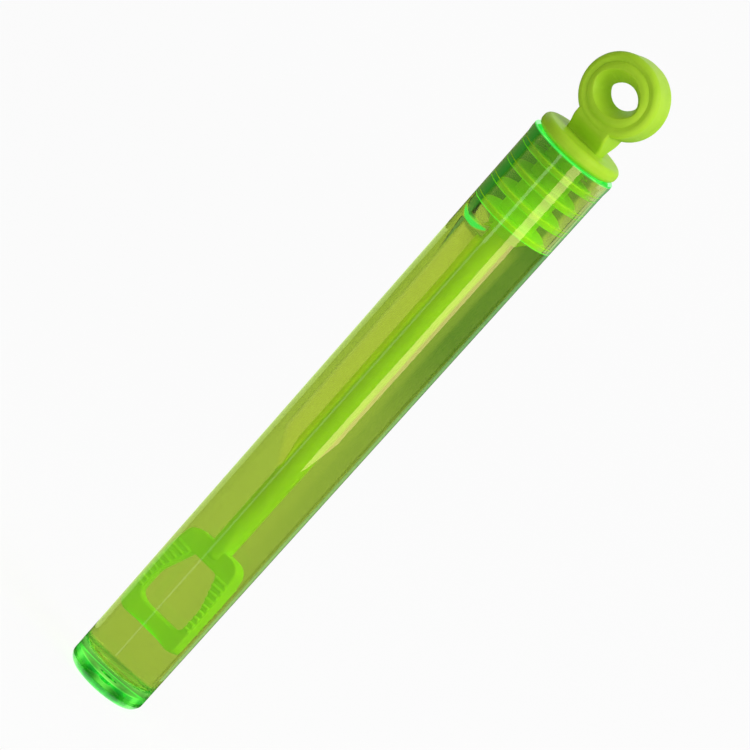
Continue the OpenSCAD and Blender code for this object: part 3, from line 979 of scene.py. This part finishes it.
def circle(radius, height):
    """Points round the object's axis."""
    turns = [2 * math.pi * i / CIRCLE_POINTS for i in range(CIRCLE_POINTS)]
    return [(radius * math.cos(t), radius * math.sin(t), height) for t in turns]


def lay_floor():
    material, tree = new_material("White floor")
    seen = background_rays(tree)
    coat = add(tree, "ShaderNodeBsdfDiffuse", 0, 0, Color=(FLOOR_PAINT, FLOOR_PAINT, FLOOR_PAINT, 1))
    white = add(tree, "ShaderNodeEmission", 0, -200, Strength=1.0)
    share = math_node(tree, "MULTIPLY", 0, 200, None, FLOOR_WHITE_SHARE)
    mix = add(tree, "ShaderNodeMixShader", 250, 0)
    output = add(tree, "ShaderNodeOutputMaterial", 450, 0)
    join(tree, seen, "Value", share, 0)
    join(tree, share, "Value", mix, "Fac")
    join(tree, coat, "BSDF", mix, 1)
    join(tree, white, "Emission", mix, 2)
    join(tree, mix, "Shader", output, "Surface")
    stage_mesh("floor", circle(FLOOR_RADIUS, -FLOOR_DROP), [tuple(range(CIRCLE_POINTS))], material)


def around(stage, turn, distance, height):
    """A point beside the object, at an angle to the right of the camera's direction."""
    back, right, up = camera_axes(stage)
    flat = Vector((back.x, back.y, 0)).normalized()
    return flat * math.cos(turn) * distance + right * math.sin(turn) * distance + Vector((0, 0, height))


def between(value, points):
    """The value of a run of straight lines through (place, value) points."""
    if value <= points[0][0]:
        return points[0][1]
    for (x0, y0), (x1, y1) in zip(points, points[1:]):
        if value <= x1:
            return y0 + (y1 - y0) * (value - x0) / (x1 - x0)
    return points[-1][1]


def hang_backdrop(stage):
    """A white card behind the object with dark zones, which shows only through the clear parts."""
    material, tree = new_material("Shaded backdrop")
    shade = add(tree, "ShaderNodeAttribute", -400, 0, {"attribute_name": "shade"})
    colour = colour_mix(tree, -150, 0, WHITE, BACKDROP_DARK)
    light = add(tree, "ShaderNodeEmission", 100, 0, Strength=1.0)
    output = add(tree, "ShaderNodeOutputMaterial", 300, 0)
    join(tree, shade, "Fac", colour, "Factor")
    join(tree, colour, COLOUR_OUT, light, "Color")
    join(tree, light, "Emission", output, "Surface")
    points, values = [], []
    for i in range(BACKDROP_COLUMNS + 1):
        turn = BACKDROP_FIRST + BACKDROP_SPAN * i / BACKDROP_COLUMNS
        for j in range(BACKDROP_ROWS + 1):
            height = BACKDROP_LOW + BACKDROP_HEIGHT * j / BACKDROP_ROWS
            points.append(around(stage, math.radians(180 + turn), BACKDROP_DISTANCE, height * MM))
            left = between(turn, LEFT_BY_TURN) * between(height, LEFT_BY_HEIGHT)
            right = between(turn, RIGHT_BY_TURN) * between(height, RIGHT_BY_HEIGHT)
            high = between(turn, HIGH_BY_TURN) * between(height, HIGH_BY_HEIGHT)
            values.append(max(left, right, high))
    rows = BACKDROP_ROWS + 1
    faces = [
        (i * rows + j, (i + 1) * rows + j, (i + 1) * rows + j + 1, i * rows + j + 1)
        for i in range(BACKDROP_COLUMNS) for j in range(BACKDROP_ROWS)
    ]
    card = stage_mesh("backdrop", points, faces, material)
    card.data.attributes.new("shade", "FLOAT", "POINT").data.foreach_set("value", values)
    show_only(card, "transmission")


def lay_dark_cloth():
    """A dark cloth on the floor, which shows only as the calm in the gloss."""
    inner, outer = CLOTH_RADII
    points = circle(inner, -CLOTH_DROP) + circle(outer, -CLOTH_DROP)
    count = CIRCLE_POINTS
    faces = [(i, (i + 1) % count, count + (i + 1) % count, count + i) for i in range(count)]
    cloth = stage_mesh("dark_cloth", points, faces, glow_material("Dark cloth", CLOTH_COLOUR))
    show_only(cloth, "glossy")


def hang_flag(stage):
    """A black flag on the left, which keeps the soft light off that side."""
    material, tree = new_material("Black flag")
    coat = add(tree, "ShaderNodeBsdfDiffuse", 0, 0, Color=(*FLAG_COLOUR, 1))
    output = add(tree, "ShaderNodeOutputMaterial", 200, 0)
    join(tree, coat, "BSDF", output, "Surface")
    points = []
    for i in range(FLAG_COLUMNS + 1):
        turn = math.radians(FLAG_FIRST + FLAG_SPAN * i / FLAG_COLUMNS)
        points += [around(stage, turn, FLAG_DISTANCE, end) for end in FLAG_ENDS]
    faces = [(2 * i, 2 * i + 2, 2 * i + 3, 2 * i + 1) for i in range(FLAG_COLUMNS)]
    show_only(stage_mesh("black_flag", points, faces, material), "diffuse")


def hang_strip(stage, name, turns, distance, bottoms, top, strength, colour):
    """A strip light that only shows as a long highlight. Each side has its own lower end."""
    near, far = (math.radians(t) for t in turns)
    points = [
        around(stage, near, distance, bottoms[0]), around(stage, far, distance, bottoms[1]),
        around(stage, far, distance, top), around(stage, near, distance, top),
    ]
    material = glow_material(name.replace("_", " ").capitalize(), colour, strength)
    show_only(stage_mesh(name, points, [(0, 1, 2, 3)], material), "glossy")


def hang_key(stage):
    data = bpy.data.lights.new("Key", "AREA")
    data.size = KEY_SIZE
    data.energy = stage.key_power
    key = bpy.data.objects.new("Key", data)
    key.location = around(stage, KEY_TURN, KEY_DISTANCE, KEY_HEIGHT)
    key.rotation_euler = (key.location - Vector((0, 0, KEY_AIM))).to_track_quat("Z", "Y").to_euler()
    key.visible_camera = False
    bpy.context.scene.collection.objects.link(key)


# Operators


class BUBBLEWAND_OT_finish_tube(bpy.types.Operator):
    """Give the tube its clear fluorescent plastic"""

    bl_idname = "bubble_wand.finish_tube"
    bl_label = "Finish Tube"

    def execute(self, context):
        paint("tube", tube_material(context.scene.bubble_wand.tube))
        return {"FINISHED"}


class BUBBLEWAND_OT_finish_stopper(bpy.types.Operator):
    """Give the stopper its satin lime plastic"""

    bl_idname = "bubble_wand.finish_stopper"
    bl_label = "Finish Stopper"

    def execute(self, context):
        paint("stopper", stopper_material(context.scene.bubble_wand.stopper))
        return {"FINISHED"}


class BUBBLEWAND_OT_finish_wand(bpy.types.Operator):
    """Give the stem and loop their bright lime plastic"""

    bl_idname = "bubble_wand.finish_wand"
    bl_label = "Finish Wand"

    def execute(self, context):
        paint("wand", wand_material(context.scene.bubble_wand.wand))
        return {"FINISHED"}


class BUBBLEWAND_OT_fill_tube(bpy.types.Operator):
    """Fill the tube with bubble solution and leave its air pocket"""

    bl_idname = "bubble_wand.fill_tube"
    bl_label = "Fill Tube"

    def execute(self, context):
        settings = context.scene.bubble_wand.solution
        mesh = solution_mesh(settings)
        mesh.materials.append(solution_material(settings))
        solution = bpy.data.objects.new("bubble_solution", mesh)
        context.scene.collection.objects.link(solution)
        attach(solution, "tube")
        for number, bottom in enumerate(settings.disc_bottoms, 1):
            # The wet rings carry painted light for the material's painted glow, most under the last disc
            lower_lit = LAST_LIT if number == len(settings.disc_bottoms) else LOWER_LIT
            lower, upper = bottom + WET_RISE, bottom + settings.disc_thickness - WET_DROP
            for edge, z, lit in (("lower", lower, lower_lit), ("upper", upper, UPPER_LIT)):
                mesh = wet_ring_mesh(settings, f"wet_ring_{number}_{edge}", z, lit)
                mesh.materials.append(solution.data.materials[0])
                ring = bpy.data.objects.new(mesh.name, mesh)
                context.scene.collection.objects.link(ring)
                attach(ring, "stopper")
        return {"FINISHED"}


class BUBBLEWAND_OT_set_stage(bpy.types.Operator):
    """Lay the floor, hang the lights and place the camera"""

    bl_idname = "bubble_wand.set_stage"
    bl_label = "Set Stage"

    def execute(self, context):
        stage = context.scene.bubble_wand.stage
        place_camera(stage)
        light_surroundings(stage)
        lay_floor()
        hang_backdrop(stage)
        lay_dark_cloth()
        hang_flag(stage)
        for strip in STRIPS:
            hang_strip(stage, *strip)
        hang_key(stage)
        context.scene.view_settings.view_transform = "Standard"
        return {"FINISHED"}


class BUBBLEWAND_PT_sidebar(bpy.types.Panel):
    """Lists the steps that dress the bubble wand"""

    bl_idname = "BUBBLEWAND_PT_sidebar"
    bl_label = "Bubble Wand"
    bl_space_type = "VIEW_3D"
    bl_region_type = "UI"
    bl_category = "Bubble Wand"

    def draw(self, context):
        for step in STEPS:
            self.layout.operator(step.bl_idname)


STEPS = (
    BUBBLEWAND_OT_finish_tube,
    BUBBLEWAND_OT_finish_stopper,
    BUBBLEWAND_OT_finish_wand,
    BUBBLEWAND_OT_fill_tube,
    BUBBLEWAND_OT_set_stage,
)
CLASSES = (
    TubeSettings,
    StopperSettings,
    WandSettings,
    SolutionSettings,
    StageSettings,
    BubbleWandSettings,
    *STEPS,
    BUBBLEWAND_PT_sidebar,
)


def register():
    for cls in CLASSES:
        bpy.utils.register_class(cls)
    bpy.types.Scene.bubble_wand = bpy.props.PointerProperty(type=BubbleWandSettings)


def unregister():
    del bpy.types.Scene.bubble_wand
    for cls in reversed(CLASSES):
        bpy.utils.unregister_class(cls)


def main():
    register()
    bpy.ops.bubble_wand.finish_tube()
    bpy.ops.bubble_wand.finish_stopper()
    bpy.ops.bubble_wand.finish_wand()
    bpy.ops.bubble_wand.fill_tube()
    bpy.ops.bubble_wand.set_stage()
    bpy.context.view_layer.update()


if __name__ == "__main__":
    main()
